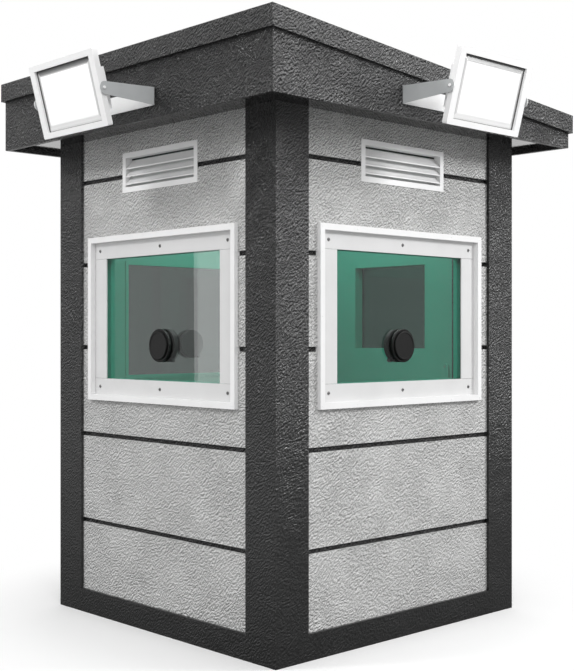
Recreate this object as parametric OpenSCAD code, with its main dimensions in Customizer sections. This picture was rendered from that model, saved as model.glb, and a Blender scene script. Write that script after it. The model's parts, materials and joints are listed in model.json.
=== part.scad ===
// Security guard booth: square cabin with clad walls, thick glazed windows,
// a mono-pitch roof with deep fascias, a rear door and two tilting floodlights.
// Millimetres, +Z up, origin at the middle of the footprint on the ground.
// The front wall faces -Y and the roof falls towards +Y.

/* [Body] */
// Width of the cabin over the corner posts
body_w = 1500; // [1300:10:2000]
// Depth of the cabin over the corner posts
body_d = 1500; // [1300:10:2000]
// Height of the wall over the door frame
head_h = 88; // [40:1:200]
// Whole thickness of a wall, from the face of the posts to the room
wall_t = 80; // [76:1:110]
// Width of a corner post on each face
post_w = 175; // [130:5:190]
// Height of the base rail
rail_h = 105; // [80:5:150]
// Thickness of the sheet that lines the room
lining_t = 6; // [3:1:10]

/* [Cladding] */
// Thickness of a cladding plank
clad_t = 10; // [6:1:12]
// Depth of the cladding behind the face of the posts
clad_recess = 14; // [8:1:16]
// Height of the open groove between two planks
groove_h = 20; // [10:1:30]
// Height of the middle of the lowest groove
first_groove = 422; // [350:1:450]
// Step between grooves up to the third one
lower_band = 397; // [360:1:410]
// Step between the grooves above the third one
upper_band = 378; // [350:1:390]

/* [Windows] */
// Width of the cladding between a window's trim and the post
window_margin = 61.5; // [20:0.5:160]
// Height of the cladding between a window's trim and the vent
window_drop = 186; // [100:1:250]
// Height of the glass that shows
sight_h = 540; // [420:5:580]
// Thickness of the laminated pane
glass_t = 40; // [20:1:44]
// Part of the pane that is hidden behind the plates on each side
glass_lap = 22; // [12:1:30]
// Width of the upright retaining plates
plate_side = 91; // [60:1:92]
// Width of the upper and lower retaining plates
plate_end = 73; // [60:1:90]
// Thickness of the retaining plates
plate_t = 5; // [3:1:8]
// Open joint between two retaining plates
plate_joint = 1; // [0.5:0.1:2]
// Width of the window trim
trim_w = 25; // [15:1:30]
// How far the trim stands out from the cladding
trim_proud = 18; // [8:1:25]
// Width of the bead round a window inside the room
bead_w = 16; // [10:1:30]
// Thickness of the bead inside the room
bead_t = 4; // [2:1:8]

/* [Talk-through] */
// Height of the middle of the talk-through above the lower edge of the glass
talk_rise = 151; // [90:1:270]
// Diameter of the flange on the glass
talk_d = 142; // [100:1:160]
// Diameter of the raised front cap
talk_cap_d = 121; // [90:1:130]
// How far the talk-through stands out from the glass
talk_out = 19; // [16:1:60]
// Diameter of the flange on the room side
talk_back_d = 142; // [90:1:160]
// Radius of the tube through the glass
talk_bore_r = 30; // [20:1:40]
// Thickness of the flange on the glass
talk_flange_t = 11; // [8:1:12]
// Width of the groove in the flange round the cap
talk_groove_w = 3; // [1:0.5:4]
// Depth of the groove in the flange round the cap
talk_groove_d = 4; // [2:1:6]
// Radius of the edges of the cap and the room-side flange
talk_edge_r = 3; // [2:1:4]
// Depth of the cap's middle below its edge
talk_dish = 2; // [1:0.5:4]
// Thickness of the flange on the room side
talk_back_t = 20; // [8:1:30]
// Width of the lug on the room side
talk_lug_w = 12; // [8:1:20]
// Angle of the lug from straight down
talk_lug_turn = 36; // [0:1:90]

/* [Vents] */
// Width of a vent grille
vent_w = 525; // [400:5:600]
// Height of a vent grille
vent_h = 175; // [150:1:200]
// Height of the cladding between a vent grille and the soffit
vent_drop = 88; // [40:1:150]
// Width of the grille's flange
vent_flange = 20; // [12:1:25]
// How far the flange stands out from the cladding
vent_proud = 3; // [1:1:8]
// Number of slanted blades
vent_blades = 3; // [2:1:4]
// Height of the lowest blade above the flange
blade_first = 14; // [5:1:25]
// Height of the opening that the rows of blades leave over at the top
blade_over = 19; // [5:1:30]
// Depth of the blades behind the face of the flange
blade_set = 1; // [0.5:0.5:3]
// Height of a blade's front lip
blade_lip_h = 5; // [3:1:8]
// Thickness of the sleeve and of a blade's front lip
blade_lip_t = 3; // [2:0.5:4]
// Height of a blade's back edge
blade_t = 5; // [3:1:8]
// Depth of a blade
blade_depth = 34; // [20:1:40]
// Rise of a blade from front to back
blade_rise = 38; // [20:1:40]

/* [Roof] */
// Overhang of the fascias past the posts
overhang = 185; // [120:5:300]
// Thickness of a fascia board
fascia_t = 20; // [12:1:30]
// Height of the front fascia that shows below the roof cap
fascia_h = 231; // [220:1:300]
// Drop of the fascias below the soffit
fascia_drop = 20; // [10:1:40]
// Thickness of the soffit and ceiling board
soffit_t = 20; // [12:1:30]
// Height of the roof cap's edge
cap_h = 82; // [50:1:120]
// How far the cap stands out from the fascias
cap_proud = 15; // [10:1:30]
// Thickness of the cap's turned-down edge
cap_edge_t = 12; // [4:1:14]
// Thickness of the cap's top sheet
cap_top_t = 20; // [10:1:30]
// Fall of the roof from front to back
roof_fall = 162; // [80:1:165]

/* [Door] */
// Width of the door leaf
door_w = 860; // [760:5:880]
// Height of the door leaf
door_h = 1900; // [1850:5:1930]
// Shift of the door from the middle, towards the right-hand wall
door_shift = 30; // [-40:1:40]
// Width of the wall panels beside the door frame, before the shift
side_panel = 85; // [60:1:120]
// Gap between the leaf and its frame
door_gap = 10; // [8:1:12]
// Width of the door frame
frame_w = 50; // [30:1:60]
// Width by which the stop overlaps the leaf
stop_lap = 12; // [8:1:20]
// Thickness of the stop
stop_t = 13; // [8:1:20]
// Clearance between the leaf and the stop
stop_gap = 5; // [5:1:8]
// Thickness of the sheet inside the leaf
leaf_lining_t = 4; // [2:1:6]
// Width of the door window's glass that shows
door_sight_w = 470; // [300:5:500]
// Height of the door window's glass that shows
door_sight_h = 416; // [300:1:450]
// Distance of the door window's glass from the top of the leaf
door_window_drop = 395; // [200:1:450]
// Depth of the door's pane behind the face of the leaf
door_glass_set = 4; // [2:1:6]
// Thickness of the door's pane
door_glass_t = 16; // [10:1:24]
// Width of the door window's trim
door_trim_w = 45; // [40:1:60]
// How far the door window's trim stands out
door_trim_proud = 10; // [6:1:16]
// Height of the handles
handle_z = 1040; // [950:5:1080]
// Distance of the handles from the edge of the leaf
handle_inset = 65; // [50:1:90]
// Width of a handle's plate
handle_plate_w = 44; // [30:1:50]
// Height of a handle's plate
handle_plate_h = 190; // [120:1:240]
// Thickness of a handle's plate
handle_plate_t = 8; // [4:1:10]
// Length of a lever
lever_len = 125; // [100:1:140]
// Radius of a lever
lever_r = 9; // [6:0.5:11]
// Distance of a lever's outer side from the face of the door
lever_out = 46; // [40:1:60]

/* [Hinges] */
// Radius of a hinge knuckle
knuckle_r = 8; // [6:0.5:8]
// Radius of a hinge pin
hinge_pin_r = 4; // [3:0.5:5]
// Whole height of one hinge
hinge_h = 110; // [80:1:130]
// Width of a hinge plate
hinge_plate_w = 46; // [30:1:48]
// Thickness of a hinge plate
hinge_plate_t = 4; // [2:0.5:6]
// Gap between a knuckle and the face behind it
hinge_lift = 1; // [0.5:0.5:3]
// Distance of the outer hinges from the ends of the leaf
hinge_inset = 200; // [150:5:300]
// Number of hinges
hinge_rows = 3; // [2:1:4]

/* [Floodlights] */
// Width of a floodlight over its rim
lamp_w = 462; // [300:1:480]
// Height of a floodlight over its rim
lamp_h = 298; // [200:1:320]
// Height of the rim's middle above the pivot
lamp_rise = 4; // [0:1:20]
// Depth of the rim
rim_t = 24; // [18:1:30]
// Width of the rim at the sides
rim_side = 34; // [20:1:40]
// Width of the rim at the top and bottom
rim_end = 24; // [16:1:30]
// Radius of the rim's corners
rim_r = 6; // [2:1:12]
// Thickness of the rim's floor behind the lens
rim_floor_t = 6; // [4:1:8]
// Thickness of the lens at its edge
lens_t = 4; // [2:1:5]
// Height of the lens's flat middle above its edge
lens_crown = 6; // [2:1:8]
// Width of the lens's sloping border
border_w = 20; // [10:1:30]
// Gap between the lens and the rim
lens_gap = 2; // [1:0.5:4]
// Radius of the lens's corners
lens_corner_r = 8; // [4:1:12]
// Tilt of the floodlight below the horizon at rest
lamp_tilt = 15; // [0:1:30]
// Clear height between the strap and the lower edge of the roof cap
strap_clear = 9; // [4:1:30]
// Distance of the pivot from the fascia
bracket_reach = 246; // [210:1:300]
// Thickness of the bracket's strap
strap_t = 4; // [3:0.5:6]
// Height of the strap at the fascia
strap_h = 71; // [50:1:74]
// Radius of the strap's rounded end
strap_end_r = 25; // [18:1:30]
// Length of the strap past the pivot
strap_past = 19; // [14:1:25]
// Outer radius of the strap's bends
bend_r = 9; // [6.5:0.5:15]
// Gap between the floodlight and the arms of its bracket
arm_gap = 5; // [5:0.5:8]
// Radius of the pivot bolt
pivot_r = 5; // [4:0.5:6]
// Radius of the boss round the pivot bolt
boss_r = 10; // [8:1:14]
// Radius of the pivot bolt's head
bolt_head_r = 6; // [5:1:12]
// Height of the pivot bolt's head
bolt_head_t = 5; // [3:1:8]
// Height of the finned back
fin_h = 165; // [100:1:200]
// Thickness of the plate that carries the fins
fin_base_t = 8; // [5:1:12]
// Thickness of a cooling fin
fin_t = 5; // [3:0.5:8]
// Depth of the cooling fins behind their plate
fin_depth = 30; // [15:1:40]
// Number of cooling fins
fin_count = 17; // [9:1:21]

/* [Hidden] */
$fn = 64;

// Clearance of a pin in its hole and of two moving faces
run_gap = 0.3;
// Clearance of a fixed piece in its seat
seat_gap = 0.5;
// Margin that a cut runs past a face
past = 5;

// Door, in the frame of the back wall: x along the wall, y inwards from the posts' face, z up
door_x = -door_shift;
door_bottom = rail_h + door_gap;
door_top = door_bottom + door_h;
frame_out_w = door_w + 2 * door_gap + 2 * frame_w;
frame_top = door_top + door_gap + frame_w;
rear_leg = (body_w - frame_out_w) / 2 - side_panel;

// Walls, in frames like that of the back wall
wall_top = frame_top + head_h;
shell_t = wall_t - lining_t;
clad_back = clad_recess + clad_t;
pane_back = clad_back + glass_t;
vent_in_w = vent_w - 2 * vent_flange;
vent_in_h = vent_h - 2 * vent_flange;
vent_z = wall_top - vent_drop - vent_h / 2;
trim_in_h = sight_h + 2 * plate_end;
trim_out_h = trim_in_h + 2 * trim_w;
pane_h = sight_h + 2 * glass_lap;
window_z = vent_z - vent_h / 2 - window_drop - trim_out_h / 2;
talk_z = window_z - sight_h / 2 + talk_rise;
trim_face = clad_recess - trim_proud;
plate_face = clad_back - plate_t;

function wall_len(side) = side == "front" || side == "back" ? body_w : body_d;
function field_len(side) = wall_len(side) - 2 * (side == "back" ? rear_leg : post_w);
function trim_out_w(side) = field_len(side) - 2 * window_margin;
function trim_in_w(side) = trim_out_w(side) - 2 * trim_w;
function sight_w(side) = trim_in_w(side) - 2 * plate_side;
function pane_w(side) = sight_w(side) + 2 * glass_lap;

third_groove = first_groove + 2 * lower_band;
grooves = [
    first_groove, first_groove + lower_band, third_groove,
    third_groove + upper_band, third_groove + 2 * upper_band
];

// Roof
roof_out = overhang + cap_proud;
fascia_bottom = wall_top - fascia_drop;
fascia_face = -overhang;
cap_front_z = fascia_bottom + fascia_h + cap_h;
cap_half_d = body_d / 2 + roof_out;
roof_slope = roof_fall / (2 * cap_half_d);
function roof_z(y) = cap_front_z - roof_slope * (y + cap_half_d);

// Pieces of the door
leaf_in = shell_t;
leaf_core_back = leaf_in - leaf_lining_t;
door_glass_back = door_glass_set + door_glass_t;
door_pane_w = door_sight_w + door_trim_w;
door_pane_h = door_sight_h + door_trim_w;
door_trim_out_w = door_sight_w + 2 * door_trim_w;
door_trim_out_h = door_sight_h + 2 * door_trim_w;
door_window_z = door_top - door_window_drop - door_sight_h / 2;
stop_face = leaf_in + stop_gap;
handle_x = door_x - door_w / 2 + handle_inset;

// Hinges stand on the outer face of the leaf and of the frame
knuckle_reach = knuckle_r + hinge_lift;
hinge_x = door_x + door_w / 2 + door_gap / 2;
hinge_first_z = door_bottom + hinge_inset;
hinge_step = (door_h - 2 * hinge_inset) / (hinge_rows - 1);

// Floodlights
arm_in = lamp_w / 2 + arm_gap;
bracket_w = 2 * (arm_in + strap_t);
pivot_y = fascia_face - bracket_reach;
pivot_z = roof_z(bracket_w / 2) - cap_h - strap_clear - strap_h / 2;
lamp_in_w = lamp_w - 2 * rim_side;
lamp_in_h = lamp_h - 2 * rim_end;
lens_w = lamp_in_w - 2 * lens_gap;
lens_h = lamp_in_h - 2 * lens_gap;
rim_front = -rim_t / 2;
rim_back = rim_t / 2;
lens_back = rim_back - rim_floor_t;
lens_edge = lens_back - lens_t;
lens_face = lens_edge - lens_crown;

coat = [0.24, 0.24, 0.24];
stucco = [0.75, 0.75, 0.74];
white = [0.93, 0.93, 0.93];
inside_green = [0.3, 0.62, 0.53];
green_glass = [0.75, 0.88, 0.84, 0.4];
grey_glass = [0.3, 0.32, 0.32, 0.6];
black = [0.08, 0.08, 0.08];

// Places children on one side of the cabin
module on_side(side) {
    if (side == "front") translate([0, -body_d / 2, 0]) children();
    if (side == "right") translate([body_w / 2, 0, 0]) rotate([0, 0, 90]) children();
    if (side == "left") translate([-body_w / 2, 0, 0]) rotate([0, 0, -90]) children();
    if (side == "back") translate([0, body_d / 2, 0]) rotate([0, 0, 180]) children();
}

// Box on a wall, from two corners in the wall's frame
module wall_box(x0, x1, y0, y1, z0, z1) {
    translate([x0, y0, z0]) cube([x1 - x0, y1 - y0, z1 - z0]);
}

// Box on a wall about a middle point, w wide and h high
module wall_block(x, z, w, h, y0, y1) {
    wall_box(x - w / 2, x + w / 2, y0, y1, z - h / 2, z + h / 2);
}

// Floor and base

module floor_panel() {
    w = body_w - 2 * shell_t;
    d = body_d - 2 * shell_t;
    color("dimgray") translate([-w / 2, -d / 2, 0]) cube([w, d, rail_h]);
}

module base_rails() {
    color(coat) for (side = ["front", "right", "back", "left"]) on_side(side) {
        half = field_len(side) / 2;
        wall_box(-half, half, 0, shell_t, 0, rail_h);
    }
}

// Corner post: an angle with one leg in each wall; the rear legs reach to the panels beside the door
module corner_post(sx, sy) {
    leg = sy > 0 ? rear_leg : post_w;
    color(coat) translate([sx * body_w / 2, sy * body_d / 2, 0]) mirror([sx > 0 ? 1 : 0, 0, 0])
    mirror([0, sy > 0 ? 1 : 0, 0]) linear_extrude(wall_top) polygon([
        [0, 0], [leg, 0], [leg, shell_t],
        [shell_t, shell_t], [shell_t, post_w], [0, post_w]
    ]);
}

// Walls

module vent_hole() {
    wall_block(0, vent_z, vent_in_w, vent_in_h, -past, wall_t + past);
}

module sight_hole(side) {
    wall_block(0, window_z, sight_w(side), sight_h, -past, wall_t + bead_t + past);
}

// Wall core with a stepped seat for the pane, a clear sight opening and a vent hole
module window_wall(side) {
    half = field_len(side) / 2;
    color(coat) on_side(side) difference() {
        wall_box(-half, half, clad_back, shell_t, rail_h, wall_top);
        wall_block(0, window_z, pane_w(side), pane_h, clad_back - past, pane_back);
        sight_hole(side);
        vent_hole();
    }
}

module back_wall_sides() {
    half = field_len("back") / 2;
    color(coat) on_side("back") {
        wall_box(-half, door_x - frame_out_w / 2, clad_back, shell_t, rail_h, wall_top);
        wall_box(door_x + frame_out_w / 2, half, clad_back, shell_t, rail_h, wall_top);
    }
}

module back_wall_head() {
    color(coat) on_side("back") wall_box(
        door_x - frame_out_w / 2, door_x + frame_out_w / 2,
        clad_back, shell_t, frame_top, wall_top
    );
}

// Planks between the grooves, over a span of wall and height
module planks(x0, x1, z0, z1, y0) {
    ends = concat([z0 - groove_h / 2], grooves, [z1 + groove_h / 2]);
    for (i = [0 : len(ends) - 2]) {
        low = max(z0, ends[i] + groove_h / 2);
        high = min(z1, ends[i + 1] - groove_h / 2);
        if (high > low) wall_box(x0, x1, y0, y0 + clad_t, low, high);
    }
}

module window_cladding(side) {
    half = field_len(side) / 2;
    color(stucco) on_side(side) difference() {
        planks(-half, half, rail_h, wall_top, clad_recess);
        wall_block(0, window_z, trim_out_w(side), trim_out_h, 0, clad_back + past);
        vent_hole();
    }
}

module back_cladding() {
    half = field_len("back") / 2;
    color(stucco) on_side("back") {
        planks(-half, door_x - frame_out_w / 2, rail_h, wall_top, clad_recess);
        planks(door_x + frame_out_w / 2, half, rail_h, wall_top, clad_recess);
        planks(
            door_x - frame_out_w / 2 + seat_gap, door_x + frame_out_w / 2 - seat_gap,
            frame_top, wall_top, clad_recess
        );
    }
}

// Sheets inside the room: the front and back ones run from wall to wall
module inner_lining() {
    color(inside_green) for (side = ["front", "right", "back", "left"]) on_side(side) {
        across = side == "front" || side == "back";
        half = wall_len(side) / 2 - (across ? shell_t : wall_t + seat_gap);
        difference() {
            wall_box(-half, half, shell_t, wall_t, rail_h, wall_top);
            if (side == "back") {
                wall_box(
                    door_x - frame_out_w / 2, door_x + frame_out_w / 2,
                    0, wall_t + past, rail_h - past, frame_top
                );
            } else {
                sight_hole(side);
                vent_hole();
            }
        }
    }
}

// Windows

window_sides = ["front", "right", "left"];

module window_trims() {
    color(white) for (side = window_sides) on_side(side) difference() {
        wall_block(0, window_z, trim_out_w(side), trim_out_h, trim_face, clad_back);
        wall_block(0, window_z, trim_in_w(side), trim_in_h, trim_face - past, clad_back + past);
    }
}

// Four plates: the upper and lower ones run through, the upright ones stand between them
module window_plates() {
    color(white) for (side = window_sides) on_side(side) for (s = [-1, 1]) {
        end_z = window_z + s * (sight_h + plate_end) / 2;
        side_x = s * (sight_w(side) + plate_side) / 2;
        wall_block(0, end_z, trim_in_w(side), plate_end, plate_face, clad_back);
        wall_block(side_x, window_z, plate_side, sight_h - 2 * plate_joint, plate_face, clad_back);
    }
}

// Flat beads on the lining, round each opening inside the room
module window_beads() {
    color(inside_green) for (side = window_sides) on_side(side) difference() {
        wall_block(
            0, window_z, sight_w(side) + 2 * bead_w, sight_h + 2 * bead_w, wall_t, wall_t + bead_t
        );
        sight_hole(side);
    }
}

// Turns children to stand on a wall's frame with their axis along y
module facing_in(x, y, z) {
    translate([x, y, z]) rotate([-90, 0, 0]) children();
}

module window_glass(side, tint) {
    color(tint) on_side(side) difference() {
        wall_block(0, window_z, pane_w(side), pane_h, clad_back, pane_back);
        facing_in(0, clad_back - past, talk_z) cylinder(r = talk_bore_r + seat_gap, h = glass_t + 2 * past);
    }
}

// Points of a quarter round about (x, y), from angle a0 to a1
quarter_steps = 6;
function quarter(x, y, r, a0, a1) = [
    for (i = [0 : quarter_steps])
        let (a = a0 + (a1 - a0) * i / quarter_steps) [x + r * cos(a), y + r * sin(a)]
];

// Talk-through in a pane that starts at depth face: flange with a dished cap in a groove outside,
// a tube through the glass, and a flange with a small lug inside, turned to the right or left
module talk_through(z, face, pane_t, turn) {
    r_flange = talk_d / 2;
    r_cap = talk_cap_d / 2;
    r_groove = r_cap + talk_groove_w;
    r_dish = r_cap - 2 * talk_edge_r;
    r_back = talk_back_d / 2;
    groove = talk_groove_d - talk_flange_t;
    back = pane_t + talk_back_t;
    facing_in(0, face, z) rotate_extrude() polygon(concat(
        [[0, -talk_out + talk_dish], [r_dish - talk_dish, -talk_out + talk_dish], [r_dish, -talk_out]],
        quarter(r_cap - talk_edge_r, -talk_out + talk_edge_r, talk_edge_r, -90, 0),
        [[r_cap, groove], [r_groove, groove], [r_groove, -talk_flange_t]],
        quarter(r_flange - talk_dish, -talk_flange_t + talk_dish, talk_dish, -90, 0),
        [[r_flange, 0], [talk_bore_r, 0], [talk_bore_r, pane_t], [r_back, pane_t]],
        quarter(r_back - talk_edge_r, back - talk_edge_r, talk_edge_r, 0, 90),
        [[0, back]]
    ));
    translate([0, 0, z]) rotate([0, -turn, 0]) wall_box(
        -talk_lug_w / 2, talk_lug_w / 2, face + pane_t, face + back - talk_edge_r,
        -r_back - talk_lug_w, -r_back + talk_lug_w
    );
}

module talk_through_units() {
    color(black) for (side = window_sides) on_side(side)
        talk_through(talk_z, clad_back, glass_t, side == "front" ? talk_lug_turn : -talk_lug_turn);
}

// Vents

// Flange with slanted blades: each blade rises inwards from a narrow lip, in a sleeve in the wall's hole,
// and a sill with the same slope closes the view below the lowest lip
module vent_grille() {
    face = clad_recess - vent_proud;
    lip = face + blade_set;
    lip_back = lip + blade_lip_t;
    blade_back = lip + blade_depth;
    bottom = vent_z - vent_in_h / 2 + blade_first;
    pitch = (vent_in_h - blade_first - blade_over) / vent_blades;
    half = vent_in_w / 2 - blade_lip_t / 2;
    half_h = vent_in_h / 2 - blade_lip_t / 2;
    difference() {
        union() {
            wall_block(0, vent_z, vent_w, vent_h, face, clad_recess);
            wall_block(0, vent_z, vent_in_w - 2 * seat_gap, vent_in_h - 2 * seat_gap, face, blade_back);
        }
        wall_block(
            0, vent_z, vent_in_w - 2 * blade_lip_t, vent_in_h - 2 * blade_lip_t,
            face - past, wall_t
        );
    }
    for (i = [-1 : vent_blades - 1]) {
        low = bottom + i * pitch;
        top = low + blade_lip_h;
        translate([-half, 0, 0]) rotate([90, 0, 90]) linear_extrude(2 * half) intersection() {
            polygon([
                [lip, low], [lip, top], [lip_back, top], [blade_back, top + blade_rise],
                [blade_back, top + blade_rise - blade_t], [lip_back, low]
            ]);
            translate([face, vent_z - half_h]) square([wall_t, 2 * half_h]);
        }
    }
}

module vent_grilles() {
    color(white) for (side = window_sides) on_side(side) vent_grille();
}

// Roof

module soffit() {
    w = body_w + 2 * (overhang - fascia_t);
    d = body_d + 2 * (overhang - fascia_t);
    color(coat) translate([-w / 2, -d / 2, wall_top]) cube([w, d, soffit_t]);
}

// Board with its top cut to the underside of the cap's sheet, between two depths
module fascia_board(x0, x1, y0, y1) {
    translate([x0, 0, 0]) rotate([90, 0, 90]) linear_extrude(x1 - x0) polygon([
        [y0, fascia_bottom], [y1, fascia_bottom],
        [y1, roof_z(y1) - cap_top_t - seat_gap], [y0, roof_z(y0) - cap_top_t - seat_gap]
    ]);
}

module front_fascia() {
    x = body_w / 2 + overhang;
    y = -body_d / 2 - overhang;
    color(coat) fascia_board(-x, x, y, y + fascia_t);
}

module back_fascia() {
    x = body_w / 2 + overhang;
    y = body_d / 2 + overhang;
    color(coat) fascia_board(-x, x, y - fascia_t, y);
}

module side_fascia(s) {
    x = body_w / 2 + overhang;
    y = body_d / 2 + overhang - fascia_t;
    color(coat) fascia_board(s > 0 ? x - fascia_t : -x, s > 0 ? x : -x + fascia_t, -y, y);
}

// Prism along x whose top and bottom follow the fall of the roof
module roof_prism(half_w, half_d, down_from, down_to) {
    translate([-half_w, 0, 0]) rotate([90, 0, 90]) linear_extrude(2 * half_w) polygon([
        [-half_d, roof_z(-half_d) - down_to], [half_d, roof_z(half_d) - down_to],
        [half_d, roof_z(half_d) - down_from], [-half_d, roof_z(-half_d) - down_from]
    ]);
}

// Lid with a sloping top sheet and turned-down edges
module roof_cap() {
    half_w = body_w / 2 + roof_out;
    color(coat) difference() {
        roof_prism(half_w, cap_half_d, 0, cap_h);
        roof_prism(half_w - cap_edge_t, cap_half_d - cap_edge_t, cap_top_t, cap_h + past);
    }
}

// Door

module door_frame() {
    half = door_w / 2;
    jamb = half + door_gap;
    outer = frame_out_w / 2;
    head = frame_top - frame_w;
    color(coat) on_side("back") translate([door_x, 0, 0]) difference() {
        union() {
            wall_box(-outer, outer, 0, wall_t, rail_h, frame_top);
            wall_box(-outer, outer, stop_face, stop_face + stop_t, rail_h, frame_top);
        }
        wall_box(-jamb, jamb, -past, stop_face, rail_h - past, head);
        wall_box(
            -half + stop_lap, half - stop_lap, stop_face - past, stop_face + stop_t + past,
            rail_h - past, head - door_gap - stop_lap
        );
    }
}

module door_window_hole(w, h, y0, y1) {
    wall_block(door_x, door_window_z, w, h, y0, y1);
}

module door_leaf() {
    color(coat) on_side("back") difference() {
        wall_box(
            door_x - door_w / 2, door_x + door_w / 2, clad_t, leaf_core_back,
            door_bottom, door_top
        );
        door_window_hole(door_sight_w, door_sight_h, 0, wall_t);
        door_window_hole(door_pane_w, door_pane_h, 0, door_glass_back);
    }
}

module door_cladding() {
    color(stucco) on_side("back") difference() {
        planks(door_x - door_w / 2, door_x + door_w / 2, door_bottom, door_top, 0);
        door_window_hole(door_trim_out_w, door_trim_out_h, -past, clad_t + past);
    }
}

module door_lining() {
    color(inside_green) on_side("back") difference() {
        wall_box(
            door_x - door_w / 2, door_x + door_w / 2, leaf_core_back, leaf_in,
            door_bottom, door_top
        );
        door_window_hole(door_sight_w, door_sight_h, 0, wall_t);
    }
}

module door_glass() {
    color(grey_glass) on_side("back") door_window_hole(
        door_pane_w - 2 * seat_gap, door_pane_h - 2 * seat_gap,
        door_glass_set, door_glass_back
    );
}

// Trim that covers the edge of the pane and is seated on the core of the leaf
module door_window_trim() {
    color(white) on_side("back") difference() {
        door_window_hole(door_trim_out_w, door_trim_out_h, -door_trim_proud, clad_t);
        door_window_hole(door_sight_w, door_sight_h, -door_trim_proud - past, clad_t + past);
        door_window_hole(door_pane_w, door_pane_h, door_glass_set, clad_t + past);
    }
}

// Lever on a long plate, standing on a face and pointing along -y
module lever_set() {
    plate_half = (handle_plate_h - handle_plate_w) / 2;
    bar = lever_out - lever_r;
    rotate([90, 0, 0]) {
        translate([-handle_plate_w / 2, -plate_half, 0]) cube([handle_plate_w, 2 * plate_half, handle_plate_t]);
        for (s = [-1, 1]) translate([0, s * plate_half, 0]) cylinder(d = handle_plate_w, h = handle_plate_t);
        cylinder(r = lever_r, h = bar);
        translate([0, 0, bar]) rotate([0, 90, 0]) cylinder(r = lever_r, h = lever_len);
        translate([0, 0, bar]) sphere(r = lever_r);
    }
}

module door_handles() {
    color("silver") on_side("back") {
        translate([handle_x, 0, handle_z]) lever_set();
        translate([handle_x, leaf_in, handle_z]) mirror([0, 1, 0]) lever_set();
    }
}

// One half of every hinge: a plate on the face and one knuckle; s is the plate's side
module hinge_half(s, low, high) {
    for (i = [0 : hinge_rows - 1]) translate([hinge_x, 0, hinge_first_z + i * hinge_step]) {
        wall_box(
            min(s * knuckle_reach, s * hinge_plate_w), max(s * knuckle_reach, s * hinge_plate_w),
            -hinge_plate_t, 0, -hinge_h / 2, hinge_h / 2
        );
        difference() {
            union() {
                wall_box(min(0, s * knuckle_reach), max(0, s * knuckle_reach), -hinge_plate_t, 0, low, high);
                translate([0, -knuckle_reach, low]) cylinder(r = knuckle_r, h = high - low);
            }
            if (s < 0) translate([0, -knuckle_reach, low - past])
                cylinder(r = hinge_pin_r + run_gap, h = high - low + 2 * past);
        }
        if (s > 0) translate([0, -knuckle_reach, low]) cylinder(r = hinge_pin_r, h = hinge_h);
    }
}

module door_hinges_frame() {
    color("silver") on_side("back") hinge_half(1, -hinge_h / 2, -run_gap / 2);
}

module door_hinges_leaf() {
    color("silver") on_side("back") hinge_half(-1, run_gap / 2, hinge_h / 2);
}

// Floodlights, in the frame of a wall: x along the wall and y inwards

// Rectangle with round corners, made of squares and circles
module round_rect(w, h, r) {
    square([w - 2 * r, h], center = true);
    square([w, h - 2 * r], center = true);
    for (sx = [-1, 1]) for (sy = [-1, 1]) translate([sx * (w / 2 - r), sy * (h / 2 - r)]) circle(r);
}

// Side view of the strap: as high as the base at the fascia, tapered to a round end
module strap_profile() {
    end_y = pivot_y - strap_past + strap_end_r;
    polygon([
        [fascia_face, -strap_h / 2], [fascia_face, strap_h / 2],
        [end_y, strap_end_r], [end_y, -strap_end_r]
    ]);
    translate([end_y, 0]) circle(strap_end_r);
}

// Flat strap bent to a U: a base on the fascia and two arms that hold the pivot bolts
module light_bracket(side) {
    depth = bracket_reach + strap_past + strap_end_r;
    color(white) on_side(side) translate([0, 0, pivot_z]) difference() {
        intersection() {
            translate([0, fascia_face - depth, -strap_h / 2]) linear_extrude(strap_h) difference() {
                round_rect(bracket_w, 2 * depth, bend_r);
                round_rect(bracket_w - 2 * strap_t, 2 * depth - 2 * strap_t, bend_r - strap_t);
            }
            translate([-bracket_w / 2, 0, 0]) rotate([90, 0, 90]) linear_extrude(bracket_w) strap_profile();
        }
        translate([-bracket_w / 2 - past, pivot_y, 0]) rotate([0, 90, 0])
            cylinder(r = pivot_r + run_gap, h = bracket_w + 2 * past);
    }
}

// Puts children at the pivot, tilted below the horizon, with y pointing to the back of the lamp
module at_pivot(side) {
    on_side(side) translate([0, pivot_y, pivot_z]) rotate([lamp_tilt, 0, 0]) children();
}

// Puts children at the middle of the rim, in the frame of the pivot
module at_rim(side) {
    at_pivot(side) translate([0, 0, lamp_rise]) children();
}

// Rim with a recess for the lens, a finned back and two pivot bolts
module light_housing(side) {
    fin_step = (lamp_in_w - fin_t) / (fin_count - 1);
    color(white) at_rim(side) difference() {
        translate([0, rim_back, 0]) rotate([90, 0, 0])
            linear_extrude(rim_t) round_rect(lamp_w, lamp_h, rim_r);
        wall_block(0, 0, lamp_in_w, lamp_in_h, rim_front - past, lens_back);
    }
    color(white) at_pivot(side) {
        wall_block(0, 0, lamp_in_w, fin_h, rim_back, rim_back + fin_base_t);
        for (i = [0 : fin_count - 1]) wall_box(
            -lamp_in_w / 2 + i * fin_step, -lamp_in_w / 2 + i * fin_step + fin_t,
            rim_back, rim_back + fin_base_t + fin_depth, -fin_h / 2, fin_h / 2
        );
        for (s = [-1, 1]) mirror([s < 0 ? 1 : 0, 0, 0]) translate([lamp_w / 2, 0, 0]) rotate([0, 90, 0]) {
            cylinder(r = boss_r, h = arm_gap - run_gap);
            cylinder(r = pivot_r, h = arm_gap + strap_t + run_gap + bolt_head_t);
            translate([0, 0, arm_gap + strap_t + run_gap]) cylinder(r = bolt_head_r, h = bolt_head_t);
        }
    }
}

// Section of a lens that is w wide: flat in the middle, with a sloping border
module lens_section(w) {
    polygon([
        [-w / 2, lens_back + past], [w / 2, lens_back + past], [w / 2, lens_edge],
        [w / 2 - border_w, lens_face], [border_w - w / 2, lens_face], [-w / 2, lens_edge]
    ]);
}

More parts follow.
